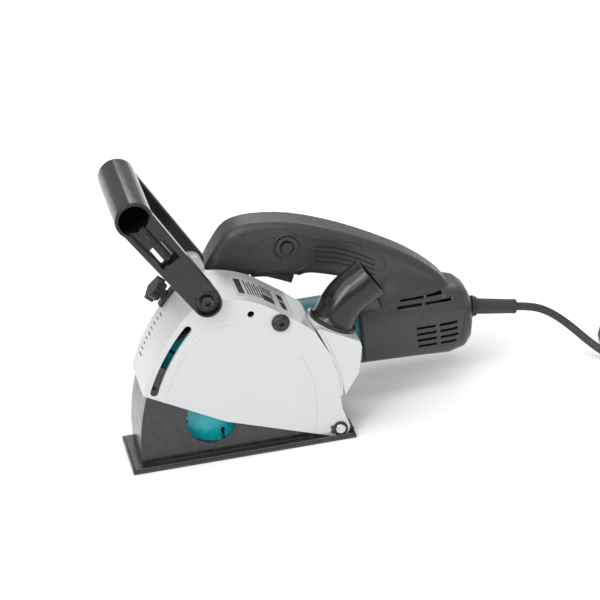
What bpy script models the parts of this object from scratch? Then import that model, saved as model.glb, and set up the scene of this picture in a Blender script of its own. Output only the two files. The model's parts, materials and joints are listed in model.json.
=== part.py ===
"""A wall chaser: a two-wheel masonry groove cutter on a hinged plunge base.

Lengths below are millimetres and are scaled to metres where a mesh is made.
+X points to the cord end, +Y to the motor side and +Z up. The origin lies on
the underside of the base plate, below the plunge pivot.
"""

from math import atan2, cos, hypot, pi, radians, sin

import bmesh
import bpy
from mathutils import Matrix, Vector

MM = 0.001
GAP = 0.3  # clearance between pieces that touch

# Driving places, as (x, z)
PIVOT = (0.0, 10.0)
SPINDLE = (-109.0, 69.0)
HUB = (-114.5, 165.3)
BAR = (-172.5, 257.0)
COVER_SCREW = (-47.6, 129.1)
TAPPED_HOLE = (-74.4, 142.1)
TRIGGER_PIN = (-51.5, 142.7)
LOCK_BUTTON = (-22.0, 167.2)

# Widths, as y
NEAR_FACE = -33.0
COVER_SPLIT = 27.0
BACK_FACE = 37.0
MOTOR_Y = 68.0
ARM_OUTER = -46.0
ARM_INNER = -34.0
COUNTERBORE = 6.0
BAR_RADIUS = 17.5
FAR_ARM_INNER = 54.0
FAR_ARM_OUTER = 66.0

WALL = 3.0
COVER_RADIUS = 194.0  # front of the cover, about the pivot
CROWN_RADIUS = 93.0  # top of the cover, about the spindle
BASE_RADIUS = 189.5  # front wall of the base, about the pivot
SLOT_RADIUS = 184.5
SPINDLE_RADIUS = 10.8
WHEEL_RADIUS = 62.5
WHEEL_BORE = 11.1
WHEEL_THICKNESS = 2.4
WHEEL_PLACES = (-15.2, 12.0)  # y of the near side of each wheel
MOTOR_RADIUS = 30.4
MOTOR_AXIS = (MOTOR_Y, SPINDLE[1])  # as (y, z)
HOUSING_FRONT = 40.3
SHAFT_RADIUS = 5.0
PLUNGE_ANGLE = radians(15.0)
NOTCH_RADIUS = 24.0
KNOB_ANGLE = 43.2
KNOB_Y = 32.4
SOLE = ((-200.0, -39.0, 0.0), (14.0, 37.0, 4.0))

RING_TEETH = 30
PINION_TEETH = 10
RING_PITCH = 27.0
PINION_PITCH = 9.0
GEAR_FACE = MOTOR_Y - PINION_PITCH - 2.0  # root of the ring gear's teeth

NOZZLE_FOOT = Vector((5.5, -5.0, 107.6))
NOZZLE_AXIS = Vector((0.463, 0.0, 0.886))
NOZZLE_OUT = Vector((0.839, 0.0, 0.547))

CORD_RADIUS = 4.0
COIL_CENTRE = (352.0, 62.0)
COIL_TURN = 48.5  # middle of the turns
COIL_INNER = 32.3
COIL_OUTER = 64.7
COIL_HEIGHT = 16.0
GUARD_START = Vector((160.2, MOTOR_Y, 64.3))
GUARD_END = Vector((203.0, MOTOR_Y, 56.6))
CORD_ROUTE = [
    (203.3, 68.0, 56.5),
    (215.0, 68.0, 54.2),
    (229.0, 67.0, 49.6),
    (243.0, 63.5, 41.0),
    (257.0, 56.0, 29.0),
    (270.0, 44.0, 17.0),
    (284.0, 28.0, 8.0),
    (300.0, 11.5, 4.2),
    (318.0, -1.4, 4.0),
    (338.0, -7.0, 4.0),
]
PLUG_LOW = (346.0, -3.0, 16.4)
PLUG_HIGH = (390.0, 28.0, 38.4)

BLACK = (0.018, 0.018, 0.02, 1)
DARK_GREY = (0.06, 0.062, 0.065, 1)
SILVER = (0.72, 0.73, 0.74, 1)
STEEL = (0.55, 0.55, 0.56, 1)
TEAL = (0.03, 0.19, 0.22, 1)
WHEEL_TEAL = (0.0, 0.27, 0.31, 1)
BRASS = (0.7, 0.5, 0.22, 1)
COPPER = (0.65, 0.27, 0.13, 1)


def clear_scene():
    for old in list(bpy.data.objects):
        bpy.data.objects.remove(old, do_unlink=True)
    collection = bpy.data.collections.new("wall_chaser")
    bpy.context.scene.collection.children.link(collection)
    return collection


PARTS = clear_scene()


def material(name, colour, roughness=0.5, metallic=0.0):
    made = bpy.data.materials.new(name)
    made.use_nodes = True
    shader = made.node_tree.nodes["Principled BSDF"]
    shader.inputs["Base Color"].default_value = colour
    shader.inputs["Roughness"].default_value = roughness
    shader.inputs["Metallic"].default_value = metallic
    made.diffuse_color = colour
    return made


CAST = material("silver_paint", SILVER, 0.38, 0.35)
BASE_PAINT = material("black_paint", BLACK, 0.3)
GLOSS_PLASTIC = material("gloss_plastic", BLACK, 0.22)
HANDLE_PLASTIC = material("grey_plastic", DARK_GREY, 0.55)
MOTOR_PLASTIC = material("teal_plastic", TEAL, 0.45)
WHEEL_PAINT = material("wheel_teal", WHEEL_TEAL, 0.35)
BRIGHT_STEEL = material("steel", STEEL, 0.25, 1.0)
BLACK_STEEL = material("black_oxide_steel", (0.05, 0.05, 0.052, 1), 0.35, 0.8)
BRASS_METAL = material("brass", BRASS, 0.3, 1.0)
COPPER_WIRE = material("copper", COPPER, 0.35, 1.0)
RUBBER = material("rubber", (0.025, 0.025, 0.026, 1), 0.7)
LABEL = material("label", (0.62, 0.62, 0.6, 1), 0.4)


# --- modelling helpers ---------------------------------------------------


def add_object(name, mesh, finish):
    obj = bpy.data.objects.new(name, mesh)
    PARTS.objects.link(obj)
    mesh.materials.clear()
    mesh.materials.append(finish)
    return obj


def mesh_object(name, shape, finish):
    bmesh.ops.recalc_face_normals(shape, faces=shape.faces)
    mesh = bpy.data.meshes.new(name)
    shape.to_mesh(mesh)
    shape.free()
    return add_object(name, mesh, finish)


def baked(obj, weld=0.01):
    """Replaces an object by the mesh of what its curve or modifiers make, welded at a few microns."""
    bpy.context.view_layer.update()
    graph = bpy.context.evaluated_depsgraph_get()
    mesh = bpy.data.meshes.new_from_object(obj.evaluated_get(graph))
    mesh.transform(obj.matrix_world)
    name = obj.name
    finish = obj.data.materials[0]
    bpy.data.objects.remove(obj, do_unlink=True)
    shape = bmesh.new()
    shape.from_mesh(mesh)
    bpy.data.meshes.remove(mesh)
    bmesh.ops.remove_doubles(shape, verts=shape.verts, dist=weld * MM)
    return mesh_object(name, shape, finish)


def combine(target, others, operation):
    for other in others:
        step = target.modifiers.new(operation, "BOOLEAN")
        step.operation = operation
        step.object = other
        step.solver = "EXACT"
        name = target.name
        target = baked(target, 0.0005)
        target.name = name
        bpy.data.objects.remove(other, do_unlink=True)
    return target


def join(target, *others):
    return combine(target, others, "UNION")


def cut(target, *others):
    return combine(target, others, "DIFFERENCE")


def keep(target, other):
    return combine(target, [other], "INTERSECT")


def rod(name, radius, start, end, finish, sides=32, far_radius=None):
    """A cylinder or cone between two points."""
    start = Vector(start) * MM
    end = Vector(end) * MM
    run = end - start
    shape = bmesh.new()
    far = radius if far_radius is None else far_radius
    place = Matrix.Translation((start + end) / 2) @ run.to_track_quat("Z", "Y").to_matrix().to_4x4()
    bmesh.ops.create_cone(
        shape,
        cap_ends=True,
        segments=sides,
        radius1=radius * MM,
        radius2=far * MM,
        depth=run.length,
        matrix=place,
    )
    return mesh_object(name, shape, finish)


def cross_rod(name, radius, place, low, high, finish, sides=32):
    """A cylinder along Y at an (x, z) place."""
    x, z = place
    return rod(name, radius, (x, low, z), (x, high, z), finish, sides)


def box(name, low, high, finish, bevel=0.0, segments=2):
    shape = bmesh.new()
    low = Vector(low) * MM
    high = Vector(high) * MM
    size = Matrix.Diagonal((*(high - low), 1.0))
    bmesh.ops.create_cube(shape, size=1.0, matrix=Matrix.Translation((low + high) / 2) @ size)
    if bevel:
        bmesh.ops.bevel(
            shape, geom=shape.edges[:], offset=bevel * MM, segments=segments, affect="EDGES", profile=0.5
        )
    return mesh_object(name, shape, finish)


def plate(name, outlines, low, high, finish, round_over=0.0):
    """A flat outline, or several as holes, in X and Z, spread from y = low to high."""
    curve = bpy.data.curves.new(name, "CURVE")
    curve.dimensions = "2D"
    curve.fill_mode = "BOTH"
    curve.extrude = ((high - low) / 2 - round_over) * MM
    curve.bevel_depth = round_over * MM
    curve.bevel_resolution = 2
    curve.offset = -round_over * MM
    for outline in outlines:
        spline = curve.splines.new("POLY")
        spline.points.add(len(outline) - 1)
        for point, (x, z) in zip(spline.points, outline):
            point.co = (x * MM, z * MM, 0, 1)
        spline.use_cyclic_u = True
    curve.materials.append(finish)
    obj = bpy.data.objects.new(name, curve)
    PARTS.objects.link(obj)
    obj.rotation_euler = (pi / 2, 0, 0)
    obj.location = (0, (low + high) / 2 * MM, 0)
    return baked(obj)


def turned(name, profile, base, direction, finish, steps=36):
    """Turns (radius, height) points about an axis that starts at base.

    The profile runs down its outer side. It closes on itself unless it ends on the axis.
    """
    mesh = bpy.data.meshes.new(name)
    points = [(radius * MM, 0, height * MM) for radius, height in profile]
    closed = min(radius for radius, _ in profile) > 0
    count = len(points)
    edges = [(i, (i + 1) % count) for i in range(count if closed else count - 1)]
    mesh.from_pydata(points, edges, [])
    obj = add_object(name, mesh, finish)
    obj.matrix_world = (
        Matrix.Translation(Vector(base) * MM) @ Vector(direction).to_track_quat("Z", "Y").to_matrix().to_4x4()
    )
    screw = obj.modifiers.new("turn", "SCREW")
    screw.steps = steps
    screw.render_steps = steps
    screw.use_merge_vertices = True
    screw.merge_threshold = 0.00001
    return baked(obj)


def ring(name, inner, outer, place, low, high, finish, steps=36):
    """A plain ring about Y at an (x, z) place."""
    height = high - low
    profile = [(outer, height), (outer, 0), (inner, 0), (inner, height)]
    return turned(name, profile, (place[0], low, place[1]), (0, 1, 0), finish, steps)


def shaft_ring(name, inner, outer, low, high, finish, steps=32):
    """A plain ring about the motor's axis, from x = low to high."""
    height = high - low
    profile = [(outer, height), (outer, 0), (inner, 0), (inner, height)]
    return turned(name, profile, (low, MOTOR_Y, SPINDLE[1]), (1, 0, 0), finish, steps)


def tube(name, points, radius, finish, resolution=2, radii=None):
    curve = bpy.data.curves.new(name, "CURVE")
    curve.dimensions = "3D"
    curve.bevel_depth = radius * MM
    curve.bevel_resolution = resolution
    curve.use_fill_caps = True
    spline = curve.splines.new("POLY")
    spline.points.add(len(points) - 1)
    for index, (point, place) in enumerate(zip(spline.points, points)):
        point.co = (*(Vector(place) * MM), 1)
        if radii:
            point.radius = radii[index]
    curve.materials.append(finish)
    obj = bpy.data.objects.new(name, curve)
    PARTS.objects.link(obj)
    return baked(obj)


def smooth_route(points, steps):
    """Points on the Catmull-Rom curve through the given points."""
    places = [Vector(point) for point in points]
    ends = [2 * places[0] - places[1], *places, 2 * places[-1] - places[-2]]
    route = []
    for a, b, c, d in zip(ends, ends[1:], ends[2:], ends[3:]):
        for step in range(steps):
            t = step / steps
            route.append(
                0.5 * (2 * b + (c - a) * t + (2 * a - 5 * b + 4 * c - d) * t * t + (3 * b - a - 3 * c + d) * t**3)
            )
    route.append(places[-1])
    return route


def arc(centre, radius, start, end, count):
    """(x, z) points on an arc. Angles are degrees above -X, so they rise from the front."""
    turns = [radians(start + (end - start) * i / count) for i in range(count + 1)]
    return [(centre[0] - radius * cos(turn), centre[1] + radius * sin(turn)) for turn in turns]


def cap(centre, radius, angle, way):
    """The inside points of a half circle at the end of a slot. way is +1 at its upper end."""
    out = Vector((-cos(radians(angle)), sin(radians(angle)))) * way
    along = Vector((sin(radians(angle)), cos(radians(angle)))) * way
    points = []
    for i in range(1, 8):
        turn = pi * i / 8
        point = Vector(centre) + (out * cos(turn) + along * sin(turn)) * radius
        points.append((point[0], point[1]))
    return points


def arc_slot(radius, half_width, start, end, count=12):
    """The outline of a round-ended slot that follows an arc about the pivot."""
    outer = arc(PIVOT, radius + half_width, start, end, count)
    inner = arc(PIVOT, radius - half_width, end, start, count)
    top = cap(arc(PIVOT, radius, end, end, 1)[0], half_width, end, 1)
    low = cap(arc(PIVOT, radius, start, start, 1)[0], half_width, start, -1)
    return outer + top + inner + low


def polar(radius, angle):
    return arc(PIVOT, radius, angle, angle, 1)[0]


def loft(name, sections, finish):
    """Joins rounded-box sections: (x, middle z, half width, half height, exponent), about MOTOR_Y."""
    count = 28
    shape = bmesh.new()
    rings = []
    for x, middle, wide, tall, power in sections:
        loop = []
        for i in range(count):
            turn = 2 * pi * i / count
            c, s = cos(turn), sin(turn)
            y = MOTOR_Y + wide * abs(c) ** (2 / power) * (1 if c >= 0 else -1)
            z = middle + tall * abs(s) ** (2 / power) * (1 if s >= 0 else -1)
            loop.append(shape.verts.new(Vector((x, y, z)) * MM))
        rings.append(loop)
    for low, high in zip(rings, rings[1:]):
        for i in range(count):
            j = (i + 1) % count
            shape.faces.new((low[i], low[j], high[j], high[i]))
    shape.faces.new(rings[0])
    shape.faces.new(rings[-1])
    return mesh_object(name, shape, finish)


# --- base ----------------------------------------------------------------


def base_plate():
    """The sole with its two side walls and curved front wall, as one casting.

    The grooves beside the ears let the cover's lower edges sink in as the base swings up.
    """
    sole = box("base_plate", *SOLE, BASE_PAINT, 1.2)
    blade_slot = box("slot", (-183, -23, -5), (-30, 25, 10), BASE_PAINT)
    sole = cut(sole, blade_slot)
    front = arc(PIVOT, BASE_RADIUS, -2.4, 29.4, 14)
    ear = arc(PIVOT, 11.5, 100, 165, 5)
    wall = front + ear + [(14, 5), (13, 1.5)]
    strip = front + arc(PIVOT, BASE_RADIUS - 2.5, 29.4, -2.4, 14)
    walls = [
        plate("near", [wall], -29.5, -27.0, BASE_PAINT),
        plate("far", [wall], 31.2, 33.7, BASE_PAINT),
        plate("front", [strip], -29.3, 33.5, BASE_PAINT),
    ]
    sole = join(sole, *walls)
    rest = atan2(SPINDLE[1] - PIVOT[1], -SPINDLE[0])
    reach = hypot(SPINDLE[0], SPINDLE[1] - PIVOT[1])
    low = (rest - PLUNGE_ANGLE) * 180 / pi
    notch = plate("notch", [arc_slot(reach, NOTCH_RADIUS, low, 45)], -60, 60, BASE_PAINT)
    bore = cross_rod("bore", 5.1, PIVOT, -60, 60, BASE_PAINT)
    near_groove = box("groove", (-55, -35.5, -2), (11, -29.7, 8), BASE_PAINT)
    far_groove = box("groove", (-55, 33.9, -2), (11, 45, 8), BASE_PAINT)
    return cut(sole, notch, bore, near_groove, far_groove)


def guide_screw():
    cross_rod("guide_screw", 3.3, polar(SLOT_RADIUS, 21.9), -32.6, -29.8, BLACK_STEEL, 20)


def pivot_pin():
    profile = [(0, 76), (4.3, 76), (4.8, 75.5), (4.8, 64), (3, 64), (3, 12), (4.8, 12), (4.8, 0.5), (4.3, 0), (0, 0)]
    turned("pivot_pin", profile, (PIVOT[0], -36, PIVOT[1]), (0, 1, 0), BRIGHT_STEEL, 24)


def pivot_clip(name, low):
    clip = ring(name, 5.1, 7.0, PIVOT, low, low + 1.0, BLACK_STEEL, 24)
    lugs = [cross_rod("lug", 1.7, (-7.6, PIVOT[1] + dz), low, low + 1.0, BLACK_STEEL, 10) for dz in (-2.2, 2.2)]
    join(clip, *lugs)


def plunge_spring():
    turns, per_turn, radius, wire = 8, 8, 4.4, 0.7
    low, high = -20.0, 24.0
    points = []
    for i in range(turns * per_turn + 1):
        angle = 2 * pi * i / per_turn
        y = low + (high - low) * i / (turns * per_turn)
        points.append((PIVOT[0] + radius * cos(angle), y, PIVOT[1] + radius * sin(angle)))
    tube("plunge_spring", points, wire, BRIGHT_STEEL, 1)


# --- wheel covers --------------------------------------------------------


def cover_outline():
    front = arc(PIVOT, COVER_RADIUS, 20.3, 50.0, 14)
    crown = arc(SPINDLE, CROWN_RADIUS, 81, 124, 16)
    rear = [(-31.5, 127.4), (-16.3, 114.3), (-4.2, 89.6), (2.3, 67.1), (3.7, 53.2), (2.9, 42), (3.7, 31.2)]
    ear = arc(PIVOT, 9.5, 160, 300, 12)
    return front + crown + rear + ear + [(-107, 36.7)]


def cover_cavity():
    front = arc(PIVOT, COVER_RADIUS - WALL, -10, 50.0, 20)
    crown = arc(SPINDLE, CROWN_RADIUS - WALL, 82, 124, 16)
    rear = [(-33.5, 124.7), (-18.8, 112.6), (-7.1, 88.6), (-0.8, 66.8), (0.7, 53.2), (-0.1, 42), (0.5, 33)]
    return front + crown + rear + [(30, 33), (30, -25)]


def wheel_cover():
    """The removable near half, a dish with its open side to the motor."""
    cover = plate("wheel_cover", [cover_outline()], NEAR_FACE, COVER_SPLIT, CAST)
    cavity = plate("cavity", [cover_cavity()], NEAR_FACE + WALL, COVER_SPLIT + 5, CAST)
    cover = cut(cover, cavity)
    lug = cross_rod("lug", 11.0, HUB, NEAR_FACE + 0.2, NEAR_FACE + 24, CAST)
    post = cross_rod("post", 7.0, COVER_SCREW, NEAR_FACE + 0.2, COVER_SPLIT - 0.2, CAST, 24)
    cover = join(cover, lug, post)
    return cut(
        cover,
        cross_rod("bore", 5.1, PIVOT, -50, 50, CAST, 24),
        cross_rod("bolt", 4.4, HUB, -50, -14, CAST, 24),
        cross_rod("screw", 3.4, COVER_SCREW, -50, 50, CAST, 20),
        cross_rod("tapped", 3.3, TAPPED_HOLE, -50, -20, CAST, 20),
        rod("dust_way", 17.5, NOZZLE_FOOT - NOZZLE_AXIS * 45, NOZZLE_FOOT + NOZZLE_AXIS * 5, CAST),
        plate("slot", [arc_slot(SLOT_RADIUS, 3.75, 21.9, 43.4)], -50, -20, CAST),
    )


def back_cover():
    """The fixed far half, bolted to the gear housing."""
    low = COVER_SPLIT + GAP
    cover = plate("back_cover", [cover_outline()], low, BACK_FACE, CAST)
    cavity = plate("cavity", [cover_cavity()], low - 5, BACK_FACE - 2.8, CAST)
    cover = cut(cover, cavity)
    post = cross_rod("post", 7.0, COVER_SCREW, low + 0.1, BACK_FACE - 0.1, CAST, 24)
    cover = join(cover, post)
    return cut(
        cover,
        cross_rod("spindle", 23.0, SPINDLE, 20, 50, CAST, 40),
        cross_rod("bore", 5.1, PIVOT, 0, 50, CAST, 24),
        cross_rod("screw", 3.4, COVER_SCREW, 0, 50, CAST, 20),
    )


def cover_screw():
    x, z = COVER_SCREW
    profile = [(0, 4), (5.5, 4), (8.0, 2.6), (8.6, 1), (8.6, 0), (3, 0), (3, -68), (0, -68)]
    screw = turned("cover_screw", profile, (x, NEAR_FACE - GAP, z), (0, -1, 0), BLACK_STEEL, 28)
    socket = cross_rod("socket", 2.6, COVER_SCREW, -50, NEAR_FACE - 1.8, BLACK_STEEL, 6)
    cut(screw, socket)


def label_plate():
    """A blank rating plate on the crown of the cover."""
    outer = arc(SPINDLE, CROWN_RADIUS + 0.8, 106, 124, 6) + [(-33.1, 129.4)]
    inner = [(-33.5, 128.9), *arc(SPINDLE, CROWN_RADIUS + 0.2, 124, 106, 6)]
    plate("label_plate", [outer + inner], -21, 19, LABEL)


def dust_port():
    """The duct behind the cover that carries the swivelling nozzle."""
    outline = [
        (-13.2, 113.6),
        (-1.4, 90.0),
        (5.2, 67.0),
        (6.6, 53.0),
        (7.6, 43.0),
        (21.7, 63.0),
        (25.1, 77.8),
        (27.2, 90.0),
        (25.9, 96.0),
        (-10.5, 115.2),
    ]
    port = plate("dust_port", [outline], NEAR_FACE + 1, 18, CAST)
    collar = rod("collar", 24.0, NOZZLE_FOOT - NOZZLE_AXIS * 9, NOZZLE_FOOT - NOZZLE_AXIS * 0.3, CAST, 40)
    port = join(port, collar)
    way = rod("way", 17.0, NOZZLE_FOOT - NOZZLE_AXIS * 60, NOZZLE_FOOT + NOZZLE_AXIS * 5, CAST, 32)
    clear = plate("clear", [cover_outline_grown()], -60, 60, CAST)
    return cut(port, way, clear)


def cover_outline_grown():
    """The cover's rear edge with the touching gap added, as far as the dust port needs."""
    edge = [(-16.3, 114.3), (-4.2, 89.6), (2.3, 67.1), (3.7, 53.2), (2.9, 42), (3.7, 31.2)]
    return [(x + 0.5, z + 0.2) for x, z in edge] + [(-60, 31), (-60, 135), (-31.5, 127.6)]


def dust_nozzle():
    """A bent socket for a hose, with a flange that turns in the port."""
    foot = NOZZLE_FOOT
    bend = foot + NOZZLE_AXIS * 24
    points = [foot + NOZZLE_AXIS * 0.3, foot + NOZZLE_AXIS * 12]
    outlet = Vector((46.2, foot.y, 147.6))
    for i in range(7):
        t = i / 6
        a = foot + NOZZLE_AXIS * 12
        b = bend + NOZZLE_AXIS * 3
        c = outlet - NOZZLE_OUT * 18
        if i:
            points.append(a * (1 - t) ** 2 + b * 2 * t * (1 - t) + c * t * t)
    points.append(outlet)
    nozzle = tube("dust_nozzle", points, 20.0, GLOSS_PLASTIC, 6)
    flange = rod("flange", 23.0, foot + NOZZLE_AXIS * 0.3, foot + NOZZLE_AXIS * 3.4, GLOSS_PLASTIC, 40)
    nozzle = join(nozzle, flange)
    way = [foot - NOZZLE_AXIS * 10, *points[1:-1], outlet + NOZZLE_OUT * 10]
    return cut(nozzle, tube("way", way, 17.4, GLOSS_PLASTIC, 5))


# --- front handle --------------------------------------------------------


def arm_outline():
    """A tapering arm with a round end at the hub and a larger one at the bar."""
    run = Vector(BAR) - Vector(HUB)
    angle = atan2(run[1], run[0])
    small, large = 13.5, 16.5
    count = 10
    outline = []
    for i in range(count + 1):
        turn = angle + pi / 2 + pi * i / count
        outline.append((HUB[0] + small * cos(turn), HUB[1] + small * sin(turn)))
    for i in range(count + 1):
        turn = angle - pi / 2 + pi * i / count
        outline.append((BAR[0] + large * cos(turn), BAR[1] + large * sin(turn)))
    return outline


def along_arm(distance, across):
    """A place on the arm, from the hub towards the bar and across to its upper edge."""
    run = (Vector(BAR) - Vector(HUB)).normalized()
    side = Vector((run[1], -run[0]))
    place = Vector(HUB) + run * distance + side * across
    return (place[0], place[1])


def front_handle():
    """Two arms and the grip bar, moulded as one, open at the near end for the key."""
    near = plate("front_handle", [arm_outline()], ARM_OUTER, ARM_INNER, GLOSS_PLASTIC, 1.5)
    far = plate("far", [arm_outline()], FAR_ARM_INNER, FAR_ARM_OUTER, GLOSS_PLASTIC, 1.5)
    bar = cross_rod("bar", BAR_RADIUS, BAR, ARM_OUTER + 1, FAR_ARM_OUTER + 1, GLOSS_PLASTIC, 48)
    handle = join(near, far, bar)
    window = [along_arm(*place) for place in [(104, 12), (54, 9.5), (54, -9.5), (104, -12)]]
    slots = []
    for side in (1, -1):
        corners = [(74, side * 8.5), (56, side * 8.5), (56, side * 4.5), (74, side * 4.5)]
        slots.append(plate("see", [[along_arm(*corner) for corner in corners]], -60, -20, BASE_PAINT))
    return cut(
        handle,
        cross_rod("hollow", BAR_RADIUS - WALL, BAR, -60, ARM_OUTER + 64, BASE_PAINT, 32),
        plate("window", [window], -60, ARM_OUTER + 8, BASE_PAINT),
        *slots,
        cross_rod("bolt", 4.4, HUB, -60, 100, BASE_PAINT, 24),
        cross_rod("bore", 11.3, HUB, -60, ARM_OUTER + COUNTERBORE, BASE_PAINT, 32),
        cross_rod("bore", 11.3, HUB, FAR_ARM_OUTER - COUNTERBORE, 100, BASE_PAINT, 32),
    )


def handle_bolt(name, floor, way, length):
    """A bolt and washer on the floor of the arm's counterbore. way is +1 where the bolt points to +Y."""
    x, z = HUB
    profile = [(0, 4), (6.1, 4), (6.7, 3.4), (6.7, 0), (3.9, 0), (3.9, -length), (0, -length)]
    seat = floor - way * (2 * GAP + 1.0)
    bolt = turned(name, profile, (x, seat, z), (0, -way, 0), BLACK_STEEL, 28)
    socket = cross_rod("socket", 3.0, HUB, *sorted((seat - way * 20, seat - way * 1.2)), BLACK_STEEL, 6)
    cut(bolt, socket)
    low, high = sorted((floor - way * GAP, floor - way * (GAP + 1.0)))
    ring(name.replace("bolt", "washer"), 4.3, 10.6, HUB, low, high, BLACK_STEEL, 28)


def stored_key():
    """The hex key kept in the hollow of the bar, its short leg in the window."""
    start, end = along_arm(58, 0), along_arm(98, 0)
    middle = ARM_OUTER + 4.5
    points = [(start[0], middle, start[1]), (end[0], middle, end[1])]
    tube("stored_key", points, 3.0, BLACK_STEEL, 1)


# --- depth stop ----------------------------------------------------------


def depth_stop():
    """A bracket that slides over the front of the cover, with its clamp knob."""
    outer = arc(PIVOT, COVER_RADIUS + 3.4, 40, 46.5, 5)
    inner = arc(PIVOT, COVER_RADIUS + 0.5, 46.5, 40, 5)
    plate("depth_stop", [outer + inner], 28.2, 36.6, BLACK_STEEL)
    x0, z0 = polar(COVER_RADIUS + 3.7, KNOB_ANGLE)
    x1, z1 = polar(COVER_RADIUS + 22.0, KNOB_ANGLE)
    start = Vector((x0, KNOB_Y, z0))
    run = (Vector((x1, KNOB_Y, z1)) - start).normalized()
    knob = rod("depth_knob", 5.0, start, start + run * 8, GLOSS_PLASTIC, 24)
    head = rod("head", 10.0, start + run * 6, start + run * 15, GLOSS_PLASTIC, 30)
    side = run.cross(Vector((0, 1, 0)))
    lobes = []
    for i in range(5):
        turn = 2 * pi * i / 5
        place = start + (side * cos(turn) + Vector((0, 1, 0)) * sin(turn)) * 9.5
        lobes.append(rod("lobe", 3.4, place + run * 6.5, place + run * 14.5, GLOSS_PLASTIC, 12))
    join(knob, head, *lobes)


# --- wheels and spindle --------------------------------------------------


def wheel(name, low):
    """A segmented diamond wheel with keyhole slots in its rim."""
    x, z = SPINDLE
    disc = ring(name, WHEEL_BORE, WHEEL_RADIUS, SPINDLE, low, low + WHEEL_THICKNESS, WHEEL_PAINT, 50)
    for i in range(8):
        turn = Matrix.Rotation(2 * pi * i / 8, 2)
        keyhole = [(2.4 * cos(a), 49 - 2.4 * sin(a)) for a in (radians(-50 + 28 * k) for k in range(11))]
        keyhole += [(-1.4, 70), (1.4, 70)]
        corners = [turn @ Vector(point) for point in keyhole]
        disc = cut(disc, plate("slot", [[(x + c[0], z + c[1]) for c in corners]], low - 5, low + 9, WHEEL_PAINT))


def spindle_group():
    """The output shaft with its flanges, spacers, nut and bearings."""
    x, z = SPINDLE
    profile = [(0, 112), (6.5, 112), (7, 111.5), (7, 84), (SPINDLE_RADIUS, 84), (SPINDLE_RADIUS, 1), (9.8, 0), (0, 0)]
    turned("spindle", profile, (x, -24, z), (0, 1, 0), BRIGHT_STEEL, 32)
    near, far = WHEEL_PLACES
    wheel("wheel_outer", near)
    wheel("wheel_inner", far)
    ring("inner_flange", WHEEL_BORE, 20.0, SPINDLE, far + WHEEL_THICKNESS + GAP, 20.0, BRIGHT_STEEL)
    start = near + WHEEL_THICKNESS + GAP
    middle = (start + far) / 2
    ring("spacer_wide", WHEEL_BORE, 17.0, SPINDLE, start, middle - GAP / 2, BRIGHT_STEEL)
    ring("spacer_narrow", WHEEL_BORE, 17.0, SPINDLE, middle + GAP / 2, far - GAP, BRIGHT_STEEL)
    nut = ring("lock_nut", WHEEL_BORE, 19.0, SPINDLE, near - 6.3, near - GAP, BLACK_STEEL)
    holes = [cross_rod("pin_hole", 2.3, (x + s * 15, z), -30, near - 3, BLACK_STEEL, 12) for s in (1, -1)]
    cut(nut, *holes)
    ring("spindle_bearing", 11.1, 15.0, SPINDLE, 36.5, 44.5, BRIGHT_STEEL, 32)
    ring("bearing_box", 15.3, 22.5, SPINDLE, 35.0, 46.0, CAST)
    ring("needle_bearing", 7.3, 11.0, SPINDLE, 79.0, 87.0, BRIGHT_STEEL, 28)


def tooth_rod(centre, out, along, low, high, root, tip):
    """A tapering tooth from centre along out, with its length along another direction."""
    start = centre + along * low
    end = centre + along * high
    side = out.cross(along).normalized()
    shape = bmesh.new()
    rings = []
    for place, scale in ((start, 0.75), (end, 1.0)):
        loop = []
        for height, half in ((root, 1.5), (tip, 0.8)):
            loop.append((height, half * scale))
        (h0, w0), (h1, w1) = loop
        corners = [
            place + out * h0 - side * w0,
            place + out * h0 + side * w0,
            place + out * h1 + side * w1,
            place + out * h1 - side * w1,
        ]
        rings.append([shape.verts.new(corner * MM) for corner in corners])
    for i in range(4):
        j = (i + 1) % 4
        shape.faces.new((rings[0][i], rings[0][j], rings[1][j], rings[1][i]))
    shape.faces.new(rings[0])
    shape.faces.new(rings[1])
    return mesh_object("tooth", shape, BRIGHT_STEEL)


def ring_gear():
    x, z = SPINDLE
    gear = ring("ring_gear", WHEEL_BORE, RING_PITCH + 1, SPINDLE, GEAR_FACE - 4.6, GEAR_FACE, BRIGHT_STEEL, 60)
    teeth = []
    for i in range(RING_TEETH):
        turn = 2 * pi * (i + 0.5) / RING_TEETH
        along = Vector((cos(turn), 0, sin(turn)))
        centre = Vector((x, GEAR_FACE, z))
        teeth.append(tooth_rod(centre, Vector((0, 1, 0)), along, RING_PITCH - 7, RING_PITCH + 0.6, -0.6, 2.6))
    join(gear, *teeth)


def bevel_pinion():
    x = SPINDLE[0] + RING_PITCH
    profile = [(7.0, 4.5), (7.0, -5), (6.0, -8), (SHAFT_RADIUS + GAP, -8), (SHAFT_RADIUS + GAP, 4.5)]
    pinion = turned("bevel_pinion", profile, (x, MOTOR_Y, SPINDLE[1]), (1, 0, 0), BRIGHT_STEEL, 30)
    teeth = []
    for i in range(PINION_TEETH):
        turn = 2 * pi * i / PINION_TEETH
        out = Vector((0, -cos(turn), sin(turn)))
        centre = Vector((x, MOTOR_Y, SPINDLE[1]))
        teeth.append(tooth_rod(centre, out, Vector((1, 0, 0)), -7, 1.5, 5.6, 9.6))
    join(pinion, *teeth)


# --- motor ---------------------------------------------------------------


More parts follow.
